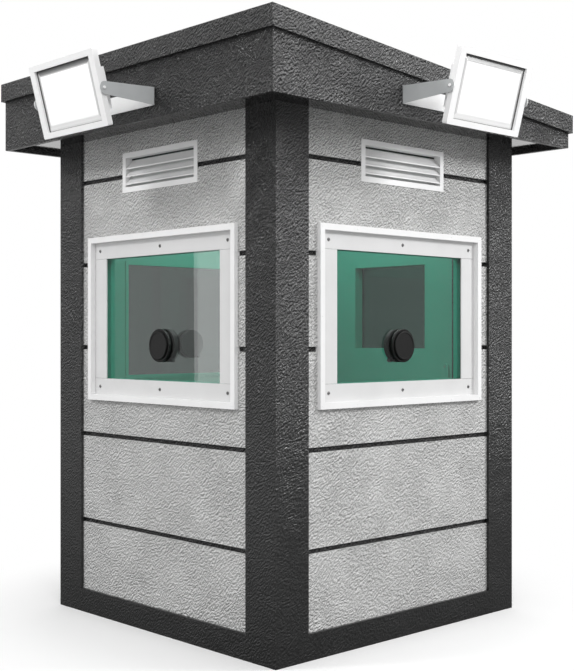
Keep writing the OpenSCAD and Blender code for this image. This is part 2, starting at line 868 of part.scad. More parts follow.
// Diffuser on the floor of the recess; its four sloping borders meet in mitres
module light_lens(side) {
    color("white") at_rim(side) intersection() {
        translate([0, lens_back, 0]) rotate([90, 0, 0])
            linear_extrude(lens_t + lens_crown + past) round_rect(lens_w, lens_h, lens_corner_r);
        translate([0, 0, -lens_h]) linear_extrude(2 * lens_h) lens_section(lens_w);
        translate([lens_w, 0, 0]) rotate([0, -90, 0]) linear_extrude(2 * lens_w) lens_section(lens_h);
    }
}

floor_panel();
base_rails();
corner_post(-1, -1);  // corner_post_front_left
corner_post(1, -1);  // corner_post_front_right
corner_post(-1, 1);  // corner_post_back_left
corner_post(1, 1);  // corner_post_back_right
window_wall("front");  // front_wall
window_wall("right");  // right_wall
window_wall("left");  // left_wall
back_wall_sides();
back_wall_head();
window_cladding("front");  // front_cladding
window_cladding("right");  // right_cladding
window_cladding("left");  // left_cladding
back_cladding();
inner_lining();
window_trims();
window_plates();
window_beads();
window_glass("front", green_glass);  // front_glass
window_glass("right", green_glass);  // right_glass
window_glass("left", grey_glass);  // left_glass
talk_through_units();
vent_grilles();
soffit();
front_fascia();
back_fascia();
side_fascia(-1);  // left_fascia
side_fascia(1);  // right_fascia
roof_cap();
door_frame();
door_hinges_frame();
door_leaf();
door_cladding();
door_lining();
door_glass();
door_window_trim();
door_handles();
door_hinges_leaf();
light_bracket("front");  // front_light_bracket
light_housing("front");  // front_light_housing
light_lens("front");  // front_light_lens
light_bracket("right");  // right_light_bracket
light_housing("right");  // right_light_housing
light_lens("right");  // right_light_lens
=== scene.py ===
"""Guard booth: finishes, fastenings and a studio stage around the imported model.

Everything is in metres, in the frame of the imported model: +Z up, the front wall faces -Y,
the right-hand wall faces +X and the door is in the +Y wall.
"""
import json
import math
from collections import namedtuple

import bmesh
import bpy
from bpy.props import FloatProperty, FloatVectorProperty, PointerProperty
from bpy.types import Operator, Panel, PropertyGroup
from mathutils import Matrix, Vector


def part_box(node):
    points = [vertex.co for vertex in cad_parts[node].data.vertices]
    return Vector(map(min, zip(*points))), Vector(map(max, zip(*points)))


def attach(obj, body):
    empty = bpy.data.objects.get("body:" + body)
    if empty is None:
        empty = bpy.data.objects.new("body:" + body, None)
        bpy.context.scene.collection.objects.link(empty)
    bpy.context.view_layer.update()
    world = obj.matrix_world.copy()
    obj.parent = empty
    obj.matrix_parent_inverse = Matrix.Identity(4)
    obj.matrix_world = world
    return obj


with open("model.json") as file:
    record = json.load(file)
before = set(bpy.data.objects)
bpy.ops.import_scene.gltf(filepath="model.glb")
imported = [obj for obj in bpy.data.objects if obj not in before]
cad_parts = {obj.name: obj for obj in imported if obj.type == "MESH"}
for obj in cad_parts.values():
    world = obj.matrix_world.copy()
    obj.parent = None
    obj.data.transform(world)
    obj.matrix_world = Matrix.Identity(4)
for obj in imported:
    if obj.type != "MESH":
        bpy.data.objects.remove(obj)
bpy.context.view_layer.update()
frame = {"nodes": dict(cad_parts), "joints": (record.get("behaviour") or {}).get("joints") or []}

bl_info = {
    "name": "Guard booth",
    "version": (1, 0, 0),
    "blender": (4, 5, 0),
    "location": "View3D > Sidebar > Booth",
    "description": "Finishes, fastenings and stage of a security guard booth",
    "category": "Object",
}

# Walls of the cabin and the turn that brings each wall's frame round to it. In a wall's frame
# x runs along the wall to the right as seen from outside, y goes inwards and z is up.
WALL_TURN = {"front": 0.0, "right": 90.0, "back": 180.0, "left": -90.0}
WINDOW_GLASS = {"front": "front_glass", "right": "right_glass", "left": "left_glass"}
LAMP_SIDES = ("front", "right")

COAT_NODES = (
    "base_rails", "corner_post_front_left", "corner_post_front_right",
    "corner_post_back_left", "corner_post_back_right", "back_wall_head",
    "front_fascia", "back_fascia", "left_fascia", "right_fascia", "roof_cap", "door_frame",
)
CORE_NODES = ("front_wall", "right_wall", "left_wall", "back_wall_sides", "door_leaf")
CLAD_NODES = ("front_cladding", "right_cladding", "left_cladding", "back_cladding", "door_cladding")

QUARTER_TURN = math.radians(90.0)
HALF_TURN = math.radians(180.0)
FULL_TURN = math.radians(360.0)

# Leathery grain: its slant, its scales along and across the slant, the scale and size of its
# wandering, and the step between two heights compared for the painted shading of its flanks.
GRAIN_SLANT = math.radians(-40.0)
RIDGE_SCALE = (78.0, 132.0, 0.0)
SCORE_SCALE = (7.0, 95.0, 0.0)
FINE_SCALE = 230.0
WANDER_SCALE = 11.0
WANDER_REACH = (0.03, 0.03, 0.0)
FLANK_STEP = (0.0008, -0.0032, 0.0)

# Orange peel of sprayed paint and lines of brushed steel
PEEL_SCALE, PEEL_DEPTH = 420.0, 0.00012
BRUSH_SCALE, BRUSH_DEPTH = (60.0, 900.0, 900.0), 0.00005

WHITE = (1.0, 1.0, 1.0)
BLACK = (0.0, 0.0, 0.0)


# Shader expressions


class Wire:
    """A socket of a node tree. Arithmetic on it adds Math nodes."""

    def __init__(self, tree, socket=None):
        self.tree = tree
        self.socket = socket

    def node(self, kind, settings=None, inputs=None, out=0):
        """Adds a node: its settings first, then the values or links of its inputs."""
        node = self.tree.nodes.new(kind)
        for key, value in (settings or {}).items():
            setattr(node, key, value)
        for key, value in (inputs or {}).items():
            if isinstance(value, Wire):
                self.tree.links.new(value.socket, node.inputs[key])
            else:
                node.inputs[key].default_value = value
        return Wire(self.tree, node.outputs[out])

    def math(self, operation, *values):
        """A Math node on these values."""
        return self.node("ShaderNodeMath", {"operation": operation}, dict(enumerate(values)))

    def vector(self, operation, *values, out=0):
        """A Vector Math node on this vector and these values."""
        inputs = dict(enumerate((self, *values)))
        return self.node("ShaderNodeVectorMath", {"operation": operation}, inputs, out)

    def __add__(self, other):
        return self.math("ADD", self, other)

    __radd__ = __add__

    def __sub__(self, other):
        return self.math("SUBTRACT", self, other)

    def __rsub__(self, other):
        return self.math("SUBTRACT", other, self)

    def __mul__(self, other):
        return self.math("MULTIPLY", self, other)

    __rmul__ = __mul__

    def __abs__(self):
        return self.math("ABSOLUTE", self)

    def above(self, limit):
        """1 where the value is above the limit, else 0."""
        return self.math("GREATER_THAN", self, limit)

    def most(self, other):
        """The larger of two values."""
        return self.math("MAXIMUM", self, other)

    def least(self, other):
        """The smaller of two values."""
        return self.math("MINIMUM", self, other)

    def ramp(self, low, high, start=0.0, end=1.0):
        """Smooth step from start to end as the value goes from low to high."""
        return self.node(
            "ShaderNodeMapRange", {"interpolation_type": "SMOOTHSTEP"},
            {"Value": self, "From Min": low, "From Max": high, "To Min": start, "To Max": end},
        )

    def blend(self, low, high):
        """Colour between two colours, by this value."""
        return self.node(
            "ShaderNodeMix", {"data_type": "RGBA"}, {0: self, 6: colour(low), 7: colour(high)}, 2
        )

    def pick(self, low, high):
        """Vector between two vectors, by this value."""
        return self.node("ShaderNodeMix", {"data_type": "VECTOR"}, {0: self, 4: low, 5: high}, 1)

    def mix(self, low, high):
        """Shader between two shaders, by this value."""
        return self.node("ShaderNodeMixShader", None, {0: self, 1: low, 2: high})

    def bump(self, depth, strength=1.0):
        """Normal from this value as a height, in metres."""
        return self.node(
            "ShaderNodeBump", None, {"Height": self, "Distance": depth, "Strength": strength}
        )

    def split(self):
        """The three parts of this vector."""
        node = self.tree.nodes.new("ShaderNodeSeparateXYZ")
        self.tree.links.new(self.socket, node.inputs[0])
        return tuple(Wire(self.tree, part) for part in node.outputs)

    def place(self, kind):
        """Texture coordinates of a kind."""
        return self.node("ShaderNodeTexCoord", out=kind)

    def rays(self, *kinds):
        """For each kind of ray, 1 on rays of that kind, else 0."""
        node = self.tree.nodes.new("ShaderNodeLightPath")
        return tuple(Wire(self.tree, node.outputs["Is " + kind + " Ray"]) for kind in kinds)


def colour(value):
    """A colour with four channels, or a wire as it is."""
    if isinstance(value, Wire):
        return value
    return (*value[:3], 1.0)


def shade(rgb, factor):
    """A colour made lighter or darker by a factor."""
    return tuple(min(1.0, c * factor) for c in rgb[:3])


def grey(value):
    """A colour with three equal channels."""
    return (value, value, value)


class Finish:
    """A new material, with helpers to fill its node tree."""

    def __init__(self, name):
        self.material = bpy.data.materials.new(name)
        self.material.use_nodes = True
        self.tree = self.material.node_tree
        self.tree.nodes.clear()
        self.wire = Wire(self.tree)
        self.output = self.tree.nodes.new("ShaderNodeOutputMaterial")

    def place(self):
        """Object coordinates, in metres."""
        return self.wire.place("Object")

    def flat_place(self):
        """Coordinates on a face: along the wall and up, or x and y on a level face."""
        x, y, z = self.place().split()
        level = self.facing(2).above(0.7)
        upright = self.wire.node("ShaderNodeCombineXYZ", None, {0: x + y, 1: z, 2: 0.0})
        flat = self.wire.node("ShaderNodeCombineXYZ", None, {0: x, 1: y, 2: 0.0})
        return level.pick(upright, flat)

    def facing(self, axis):
        """How squarely a face looks along an axis, between 0 and 1."""
        return abs(self.wire.place("Normal").split()[axis])

    def noise(self, place, scale, detail=2.0, rough=0.5, distort=0.0, out=0):
        """Soft noise between 0 and 1."""
        return self.wire.node("ShaderNodeTexNoise", None, {
            "Vector": place, "Scale": scale, "Detail": detail, "Roughness": rough, "Distortion": distort,
        }, out)

    def peel(self, place):
        """Normal of sprayed paint with a faint orange peel."""
        return self.noise(place, PEEL_SCALE).bump(PEEL_DEPTH, 0.5)

    def principled(self, **inputs):
        """The Principled shader, with its inputs by name; underscores stand for spaces."""
        named = {key.replace("_", " "): value for key, value in inputs.items()}
        return self.wire.node("ShaderNodeBsdfPrincipled", None, named)

    def emission(self, strength):
        """A white glow."""
        return self.wire.node("ShaderNodeEmission", None, {"Color": colour(WHITE), "Strength": strength})

    def close(self, shader):
        """Links the shader to the output and gives the material."""
        self.tree.links.new(shader.socket, self.output.inputs["Surface"])
        return self.material


def leather(finish, place):
    """Height of a leathery coat, about 0.5: slanting ridges, finer grains and a few long scores."""
    wander = finish.noise(place, WANDER_SCALE, 1.0, out="Color")
    bent = wander.vector("MULTIPLY_ADD", WANDER_REACH, place)
    turned = finish.wire.node(
        "ShaderNodeVectorRotate", {"rotation_type": "Z_AXIS"}, {"Vector": bent, "Angle": GRAIN_SLANT}
    )
    score = finish.noise(turned.vector("MULTIPLY", SCORE_SCALE), 1.0, 1.0).ramp(0.7, 0.78)
    ridge = finish.noise(turned.vector("MULTIPLY", RIDGE_SCALE), 1.0, 1.0, distort=0.2)
    fine = finish.noise(bent, FINE_SCALE, 1.0)
    return 0.5 + 1.6 * (ridge - 0.5) + 0.4 * (fine - 0.5) - 0.25 * score


def painted_relief_light(finish, place, height):
    """Painted relief shading of the grain: 1 on flanks that face up, painted as lit from above, 0 on flanks
    that face down, painted as in shade.
    """
    return (leather(finish, place.vector("ADD", FLANK_STEP)) - height).ramp(-0.3, 0.3)


def wrinkled_coat(name, rgb, gloss=0.85, depth=0.013, rough=0.24):
    """Dark powder coat with a leathery grain and painted relief shading, with painted glints high up on
    the faces that look left and right, near the front; painted darker and smoother at the foot, smoother on
    level faces."""
    finish = Finish(name)
    place = finish.flat_place()
    patch = finish.noise(place, 5.0)
    height = leather(finish, place)
    _, y, z = finish.place().split()
    # Painted glints: lighter on side faces high up and near the front, where raking light catches the grain
    painted_glint = finish.facing(0).ramp(0.3, 0.8) * z.ramp(1.0, 1.7) * y.ramp(-0.4, 0.8, 1.0, 0.3)
    rise = z.ramp(0.3, 2.0)
    steep = finish.facing(2).ramp(0.5, 0.9, 1.0, 0.3)
    # Painted light and shade: upward flanks are paler higher up, palest where glints are painted, darker at
    # the foot
    pale = painted_glint.blend(rise.blend(shade(rgb, 1.2), shade(rgb, 2.6)), shade(rgb, 12.0))
    relief_light = painted_relief_light(finish, place, height)
    relief = height * patch.ramp(0.3, 0.7, 0.7, 1.0) * (0.15 + 0.85 * rise) * steep
    return finish.close(finish.principled(
        Base_Color=(relief_light * relief_light).blend(shade(rgb, 0.05), pale), Specular_IOR_Level=gloss,
        Roughness=rough + 0.08 * patch + 0.1 * (1.0 - rise), Normal=relief.bump(depth),
    ))


def groove_coat(name, rgb, inner, limit, top):
    """Dark coat of the wall cores with painted relief shading on its grain; below the top and nearer to
    the room than the limit, they have the lining's colour."""
    finish = Finish(name)
    x, y, z = finish.place().split()
    outer = abs(x).most(abs(y)).above(limit).most(z.above(top))
    place = finish.flat_place()
    height = leather(finish, place)
    relief_light = painted_relief_light(finish, place, height)
    # Painted relief shading: flanks that face up are painted much lighter, as if lit from above
    dark = (relief_light * relief_light).blend(shade(rgb, 0.3), shade(rgb, 24.0))
    return finish.close(finish.principled(
        Base_Color=outer.blend(inner, dark), Roughness=0.36 + 0.1 * height, Specular_IOR_Level=0.25,
        Normal=(height * outer).bump(0.01),
    ))


def pale_coat(name, rgb):
    """Pale coat with a leathery grain in stronger and fainter patches and painted relief shading, painted
    stronger under the eaves.
    """
    finish = Finish(name)
    place = finish.flat_place()
    patch = finish.noise(place, 4.0)
    height = leather(finish, place)
    # Painted shade and light: under the eaves downward flanks are painted darker and upward ones lighter
    eaves = finish.place().split()[2].ramp(1.75, 2.12)
    low = eaves.blend(shade(rgb, 0.72), shade(rgb, 0.45))
    high = eaves.blend(shade(rgb, 1.2), shade(rgb, 1.6))
    return finish.close(finish.principled(
        Base_Color=painted_relief_light(finish, place, height).blend(low, high), Roughness=0.45 + 0.1 * patch,
        Specular_IOR_Level=0.35, Normal=(height * patch.ramp(0.3, 0.65, 0.6, 1.0)).bump(0.0115),
    ))


def smooth_paint(name, rgb, rough=0.38):
    """Sprayed paint with a little soiling."""
    finish = Finish(name)
    place = finish.place()
    soil = finish.noise(place, 7.0, 5.0, 0.6)
    tone = soil.ramp(0.35, 0.8).blend(rgb, shade(rgb, 0.955))
    return finish.close(finish.principled(
        Base_Color=tone, Roughness=rough + 0.1 * soil, Specular_IOR_Level=0.15, Normal=finish.peel(place),
    ))


def vent_paint(name, rgb):
    """White paint with a little soiling, painted darker on the slanted blades as shade."""
    finish = Finish(name)
    place = finish.place()
    # Painted shade: the slanted faces of the blades are painted darker
    slant = finish.facing(2).ramp(0.3, 0.6)
    soil = finish.noise(place, 14.0, 4.0, 0.6)
    tone = slant.blend(soil.ramp(0.35, 0.8).blend(rgb, shade(rgb, 0.96)), shade(rgb, 0.82))
    return finish.close(finish.principled(
        Base_Color=tone, Roughness=0.38 + 0.1 * soil, Specular_IOR_Level=0.15, Normal=finish.peel(place),
    ))


def bracket_coat(name, rgb, pale, axis):
    """Zinc-grey coat of a bracket's arms; the strap that faces out along the axis is painted paler, as
    painted light on that face.
    """
    finish = Finish(name)
    # Painted light: faces that look out along the axis take the pale colour
    strap = finish.facing(axis).above(0.7)
    place = finish.place()
    soil = finish.noise(place, 9.0, 4.0, 0.6)
    clean = strap.blend(rgb, pale)
    soiled = strap.blend(shade(rgb, 0.92), shade(pale, 0.95))
    return finish.close(finish.principled(
        Base_Color=soil.ramp(0.35, 0.8).blend(clean, soiled), Roughness=0.42 + 0.1 * soil,
        Specular_IOR_Level=0.3, Normal=finish.peel(place),
    ))


def moulded_plastic(name, rgb):
    """Black plastic with a fine moulded grain."""
    finish = Finish(name)
    place = finish.place()
    grain = finish.noise(place, 900.0, 3.0)
    cloud = finish.noise(place, 30.0, 3.0)
    return finish.close(finish.principled(
        Base_Color=cloud.blend(shade(rgb, 0.8), shade(rgb, 1.25)), Roughness=0.42 + 0.12 * grain,
        Specular_IOR_Level=0.25, Normal=grain.bump(0.0001, 0.6),
    ))


def drawn_lines(finish, place):
    """Fine lines of brushed steel, along x."""
    return finish.noise(place.vector("MULTIPLY", BRUSH_SCALE), 1.0, 3.0)


def brushed_steel(name, rgb):
    """Steel with fine drawn lines."""
    finish = Finish(name)
    lines = drawn_lines(finish, finish.place())
    return finish.close(finish.principled(
        Base_Color=lines.blend(shade(rgb, 0.85), shade(rgb, 1.05)), Metallic=1.0,
        Roughness=0.28 + 0.16 * lines, Normal=lines.bump(BRUSH_DEPTH, 0.4),
    ))


def handle_steel(name, rgb, inner, limit):
    """Brushed steel outside; nearer to the room than the limit it is painted like the lining."""
    finish = Finish(name)
    place = finish.place()
    outer = place.split()[1].above(limit)
    lines = drawn_lines(finish, place)
    bare = lines.blend(shade(rgb, 0.85), shade(rgb, 1.05))
    return finish.close(finish.principled(
        Base_Color=outer.blend(inner, bare), Metallic=outer,
        Roughness=0.28 + 0.16 * lines + 0.2 * (1.0 - outer), Normal=lines.bump(BRUSH_DEPTH, 0.4),
    ))


def speckled_sheet(name, rgb):
    """Floor sheet with light and dark flecks."""
    finish = Finish(name)
    place = finish.flat_place()
    fleck = finish.noise(place, 380.0)
    wear = finish.noise(place, 4.0, 4.0)
    tone = fleck.ramp(0.4, 0.66).blend(shade(rgb, 0.7), shade(rgb, 1.7))
    return finish.close(finish.principled(
        Base_Color=tone, Roughness=0.55 + 0.2 * wear, Normal=fleck.bump(0.0002, 0.5)
    ))


def pane_glass(name, rgb, index):
    """Thick tinted glass; shadow and diffuse rays go straight through, so daylight enters the room."""
    finish = Finish(name)
    shadow, diffuse = finish.wire.rays("Shadow", "Diffuse")
    haze = finish.noise(finish.place(), 3.0, 3.0)
    solid = finish.principled(
        Base_Color=haze.blend(shade(rgb, 0.97), shade(rgb, 1.03)), Roughness=0.0, IOR=index,
        Transmission_Weight=1.0,
    )
    # A straight ray crosses two faces, so each one takes the square root of the tint.
    half_tint = tuple(math.sqrt(c) for c in rgb)
    clear = finish.wire.node("ShaderNodeBsdfTransparent", None, {"Color": colour(half_tint)})
    return finish.close(shadow.most(diffuse).mix(solid, clear))


def frosted_lens(name, rgb, glow, across, size):
    """Frosted diffuser with a painted glow inside its borders and painted shade on the borders, darkest at
    the top as the rim's shadow and palest at the foot; across is its wide axis, size its width and height."""
    finish = Finish(name)
    parts = finish.wire.place("Generated").split()
    along, up = parts[across], parts[2]
    side = size[0] * (0.5 - abs(along - 0.5))
    top, foot = size[1] * (1.0 - up), size[1] * up
    inset = side.least(top).least(foot)
    # Painted shade on the borders: darker towards the rim, darkest at the top as the rim's shadow, paler at
    # the foot
    slope = inset.ramp(0.001, 0.03, 0.5, 0.97)
    painted_rim_shadow = 0.3 + 0.7 * top.above(side.least(foot) + 0.0004)
    painted_foot_light = 1.0 + 0.7 * (1.0 - foot.above(side.least(top)))
    frost = finish.noise(finish.place(), 700.0)
    border = slope * painted_rim_shadow * painted_foot_light
    # Painted light: the flat middle glows, so it stays bright white
    flat = inset.ramp(0.019, 0.034)
    return finish.close(finish.principled(
        Base_Color=flat.blend(border.blend(BLACK, rgb), rgb), Roughness=0.32 + 0.1 * frost,
        Emission_Color=flat.blend(BLACK, rgb), Emission_Strength=glow, Normal=frost.bump(0.00008, 0.4),
    ))


# Mesh helpers


SMOOTH_ANGLE = math.radians(35.0)
BEVEL_ANGLE = math.radians(40.0)

# Fastenings: rise of a screw's head to its radius, sides of a pin, and how far screws and pins are sunk
HEAD_RISE = 0.42
PIN_STEPS = 12
SCREW_SUNK, PIN_SUNK = 0.0006, 0.0005

Opening = namedtuple("Opening", "half low high near far middle")


def dress(node, finish, edge=0.0):
    """Gives a CAD node its finish and, where asked, softly rounded edges."""
    thing = frame["nodes"][node]
    if thing.material_slots:
        for slot in thing.material_slots:
            slot.material = finish
    else:
        thing.data.materials.append(finish)
    if edge > 0.0:
        soften(thing, edge)


def soften(thing, edge):
    """Rounds the sharp edges of a thing by a Bevel modifier."""
    bevel = thing.modifiers.new("soft edges", "BEVEL")
    bevel.width = edge
    bevel.segments = 2
    bevel.limit_method = "ANGLE"
    bevel.angle_limit = BEVEL_ANGLE


def settle(name, bm, finish, body):
    """Turns a bmesh into a piece that rides on a body."""
    bmesh.ops.recalc_face_normals(bm, faces=bm.faces[:])
    mesh = bpy.data.meshes.new(name)
    bm.to_mesh(mesh)
    bm.free()
    mesh.materials.append(finish)
    piece = bpy.data.objects.new(name, mesh)
    bpy.context.scene.collection.objects.link(piece)
    mesh.shade_smooth()
    mesh.set_sharp_from_angle(angle=SMOOTH_ANGLE)
    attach(piece, body)


def lathe(bm, matrix, rings, steps=20):
    """Turned solid: rings of (radius, height, corners) about z; corners above 2 make a polygon."""
    loops = []
    for radius, height, corners in rings:
        loop = []
        for i in range(steps):
            angle = FULL_TURN * i / steps
            reach = radius
            if corners > 2:
                sector = FULL_TURN / corners
                reach = radius * math.cos(sector / 2.0) / math.cos(angle % sector - sector / 2.0)
            spot = Vector((reach * math.cos(angle), reach * math.sin(angle), height))
            loop.append(bm.verts.new(matrix @ spot))
        loops.append(loop)
    for low, high in zip(loops, loops[1:]):
        band(bm, low, high)
    bm.faces.new(loops[0][::-1])
    bm.faces.new(loops[-1])


def band(bm, low, high):
    """Ring of faces between two loops of points."""
    for i in range(len(low)):
        j = (i + 1) % len(low)
        bm.faces.new((low[i], low[j], high[j], high[i]))


def mitred_ring(bm, matrix, half_w, half_h, profile):
    """Frame with mitred corners: a closed profile of (inset, depth) swept round a rectangle."""
    loops = []
    for inset, depth in profile:
        w, h = half_w - inset, half_h - inset
        corners = ((-w, -h), (w, -h), (w, h), (-w, h))
        loops.append([bm.verts.new(matrix @ Vector((x, depth, z))) for x, z in corners])
    for near, far in zip(loops, loops[1:] + loops[:1]):
        band(bm, near, far)


def wall_frame(side):
    """Matrix from a wall's frame to the model: origin at the foot of the wall, in its middle."""
    low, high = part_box("corner_post_front_left")[0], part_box("corner_post_back_right")[1]
    spot = {
        "front": (0.0, low[1], 0.0), "back": (0.0, high[1], 0.0),
        "left": (low[0], 0.0, 0.0), "right": (high[0], 0.0, 0.0),
    }[side]
    return Matrix.Translation(spot) @ Matrix.Rotation(math.radians(WALL_TURN[side]), 4, "Z")


def outwards(side, x, y, z, turn=0.0):
    """Matrix of a fastening on a wall: its z axis points out of the wall, or is turned from there."""
    spot = wall_frame(side) @ Matrix.Translation((x, y, z))
    return spot @ Matrix.Rotation(turn, 4, "Z") @ Matrix.Rotation(QUARTER_TURN, 4, "X")


def in_wall(side, node):
    """Half width, heights, outer and inner face and middle of a node, in its wall's frame."""
    low, high = (Vector(p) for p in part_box(node))
    back = wall_frame(side).inverted()
    a, b = back @ low, back @ high
    return Opening(
        abs(b.x - a.x) / 2.0, min(a.z, b.z), max(a.z, b.z), min(a.y, b.y), max(a.y, b.y), (a.x + b.x) / 2.0
    )


def lamp_pivot(side):
    """Place of the pivot of a floodlight."""
    return next(j["pos_m"] for j in frame["joints"] if j["name"] == side + "_light_tilt")


def lamp_frame(side):
    """Matrix of a floodlight's own frame: origin at the pivot, y to the back of the lamp."""
    turn = Matrix.Rotation(math.radians(WALL_TURN[side]), 4, "Z")
    return Matrix.Translation(lamp_pivot(side)) @ turn @ Matrix.Rotation(fastenings().lamp_tilt, 4, "X")


def screw_head(bm, matrix, radius):
    """Button head with a six-sided socket."""
    rise = HEAD_RISE * radius
    lathe(bm, matrix, (
        (0.05 * radius, 0.06 * rise, 0), (0.5 * radius, 0.06 * rise, 6), (0.52 * radius, 0.9 * rise, 6),
        (0.62 * radius, rise, 0), (0.82 * radius, 0.8 * rise, 0), (0.96 * radius, 0.38 * rise, 0),
        (radius, 0.0, 0), (0.9 * radius, -SCREW_SUNK, 0),
    ))


def pin_head(bm, matrix, radius):
    """Small domed pin."""
    lathe(bm, matrix, (
        (0.12 * radius, 0.5 * radius, 0), (0.5 * radius, 0.44 * radius, 0),
        (0.85 * radius, 0.26 * radius, 0), (radius, 0.0, 0), (0.9 * radius, -PIN_SUNK, 0),
    ), PIN_STEPS)


# Settings


def tint(name, description, *rgb):
    """Setting of a colour."""
    return FloatVectorProperty(
        name=name, description=description, default=rgb, subtype="COLOR", min=0.0, max=1.0
    )


def metres(name, description, *lengths):
    """Setting of one or more lengths."""
    if len(lengths) == 1:
        return FloatProperty(name=name, description=description, default=lengths[0], unit="LENGTH", min=0.0)
    return FloatVectorProperty(
        name=name, description=description, default=lengths, size=len(lengths), unit="LENGTH"
    )


def watts(name, description, power):
    """Setting of a lamp's power."""
    return FloatProperty(name=name, description=description, default=power, unit="POWER", min=0.0)


class BoothFinishes(PropertyGroup):
    """Colours of the booth."""

    coat: tint("Dark coat", "Posts, rails, door frame and roof", 0.014, 0.014, 0.0141)
    core: tint("Grooves", "Wall cores, seen in the grooves between the planks", 0.004, 0.004, 0.004)
    stucco: tint("Cladding", "Grained coat of the wall planks", 0.60, 0.60, 0.595)
    white: tint("White paint", "Window plates and the trim of the door's window", 0.71, 0.71, 0.71)
    trim: tint("Trim paint", "Brighter white of the window trims, vents and floodlights", 0.88, 0.88, 0.88)
    zinc: tint("Brackets", "Zinc-grey coat of the floodlights' brackets", 0.50, 0.515, 0.52)
    seal: tint(
        "Seals", "Rubber round the floodlights' lenses and wires of the insect screens", 0.05, 0.05, 0.05
    )
    room: tint("Room lining", "Sheets inside the room", 0.055, 0.41, 0.29)
    floor: tint("Floor sheet", "Covering of the floor", 0.12, 0.12, 0.12)
    green_glass: tint("Green glass", "Tint of the front and right-hand panes", 0.72, 0.80, 0.775)
    grey_glass: tint("Grey glass", "Tint of the left-hand pane", 0.09, 0.09, 0.09)
    door_glass: tint("Smoked glass", "Tint of the door's pane", 0.010, 0.035, 0.026)
    black: tint("Talk-throughs", "Plastic of the talk-throughs", 0.006, 0.006, 0.006)
    steel: tint("Steel", "Handles, hinges and screws", 0.58, 0.58, 0.58)
    lens: tint("Diffuser", "Lens of a floodlight", 0.93, 0.93, 0.93)
    # Painted glow of the lenses' flat middles, which keeps them bright white
    glow: FloatProperty(
        name="Lens glow", description="Light that a lens gives off",
        default=0.4, min=0.0, max=2.0, subtype="FACTOR",
    )
    index: FloatProperty(
        name="Glass index", description="Refractive index of the panes", default=1.48, min=1.3, max=1.9,
    )


class BoothFastenings(PropertyGroup):
    """Sizes of the edges and fastenings."""

    coat_edge: metres("Coat edge", "Radius of the dark coated edges", 0.003)
    thin_edge: metres("Thin edge", "Radius of the edges of plates and planks", 0.0015)
    fine_edge: metres("Fine edge", "Radius of the edges of vents, brackets, hinges and handles", 0.0008)
    bead_edge: metres("Bead edge", "Radius of the edges of the window beads", 0.001)
    lamp_edge: metres("Lamp edge", "Radius of the edges of the floodlights", 0.0025)
    trim_edge: metres("Trim edge", "Radius of the edges of the window trims", 0.003)
    plate_screw: metres("Plate screw", "Radius of the screws in the window plates", 0.0075)
    screw_inset: metres("Screw inset", "Distance of the end screws from the ends of a plate", 0.042)
    trim_pin: metres("Trim pin", "Radius of the pins in the window trims", 0.0028)
    glass_lap: metres("Glass lap", "Part of a pane behind its plates", 0.022)
    plate_side: metres("Side plate", "Width of the upright window plates", 0.091)
    plate_end: metres("End plate", "Width of the upper and lower window plates", 0.073)
    plate_thick: metres("Plate", "Thickness of the window plates", 0.005)
    trim_wide: metres("Trim width", "Width of a window trim", 0.025)
    trim_deep: metres("Trim depth", "Distance from the face of a trim to the outer face of the pane", 0.028)
    wall_thick: metres("Wall", "Thickness of a wall with its lining and window bead", 0.084)
    door_lap: metres("Door glass lap", "Part of the door's pane behind its trim", 0.022)
    door_thick: metres("Door", "Thickness of the door", 0.074)
    sleeve: metres("Sleeve", "Thickness of the sleeves in the window openings", 0.001)
    vent_hole: metres("Vent hole", "Width and height of the hole behind a vent", 0.485, 0.135)
    vent_high: metres("Vent height", "Height of the middle of a vent", 1.9875)
    screen_deep: metres("Screen depth", "Depth of the insect screens behind the face of the posts", 0.056)
    screen_pitch: metres("Screen pitch", "Distance between the wires of an insect screen", 0.006)
    hinge_at: metres(
        "Hinges", "Hinge line's distance from the middle of the wall, and hinges' heights",
        0.405, 0.315, 1.065, 1.815
    )
    handle_at: metres(
        "Handles", "Handles' distance from the middle of the wall, and their height", -0.395, 1.04
    )
    lamp_tilt: FloatProperty(
        name="Lamp tilt", description="Tilt of the floodlights at rest",
        default=math.radians(15.0), subtype="ANGLE", unit="ROTATION",
    )
    strap: metres("Bracket", "Thickness of a bracket's strap", 0.004)
    lamp_rise: metres("Lamp rise", "Height of a floodlight's middle above its pivot", 0.004)
    lamp_open: metres("Lamp opening", "Width and height of the recess in a floodlight's rim", 0.394, 0.250)


class BoothStage(PropertyGroup):
    """Camera and light."""

    eye: FloatVectorProperty(
        name="Camera", description="Place of the camera",
        default=(4.0219, -3.7689, 1.2699), subtype="TRANSLATION", unit="LENGTH",
    )
    heading: FloatProperty(
        name="Heading", description="Turn of the camera about the upright axis",
        default=math.radians(46.755), subtype="ANGLE", unit="ROTATION",
    )
    lens: FloatProperty(
        name="Lens", description="Focal length of the camera", default=62.96, min=10.0, unit="CAMERA",
    )
    sky: FloatProperty(
        name="Sky", description="Light of the surroundings", default=1.0, min=0.0, max=2.0, subtype="FACTOR",
    )
    key: watts("Key lamp", "Lamp above the camera", 85.0)
    rim: watts("Rim lamp", "Raking lamp on the right", 174.0)
    side: watts("Side lamp", "Raking lamp on the left", 84.0)
    strip: watts("Strip lamp", "Upright lamp on the left", 25.0)
    room: watts("Room light", "Light under the ceiling", 10.0)


# Pieces


# Gaps between an added piece and the solids round it
SLEEVE_FIT = 0.0002
RING_FIT = 0.0003
PANE_GAP = 0.0005

# The cores have the lining's colour from just behind the panes' outer face inwards, and up to a
# little above the panes.
CORE_FACE = 0.001
CORE_RISE = 0.02

# Pins of a window trim: half the distance between its middle pins, and between a side's pins
PIN_HALF = 0.3
PIN_STEP = 0.255

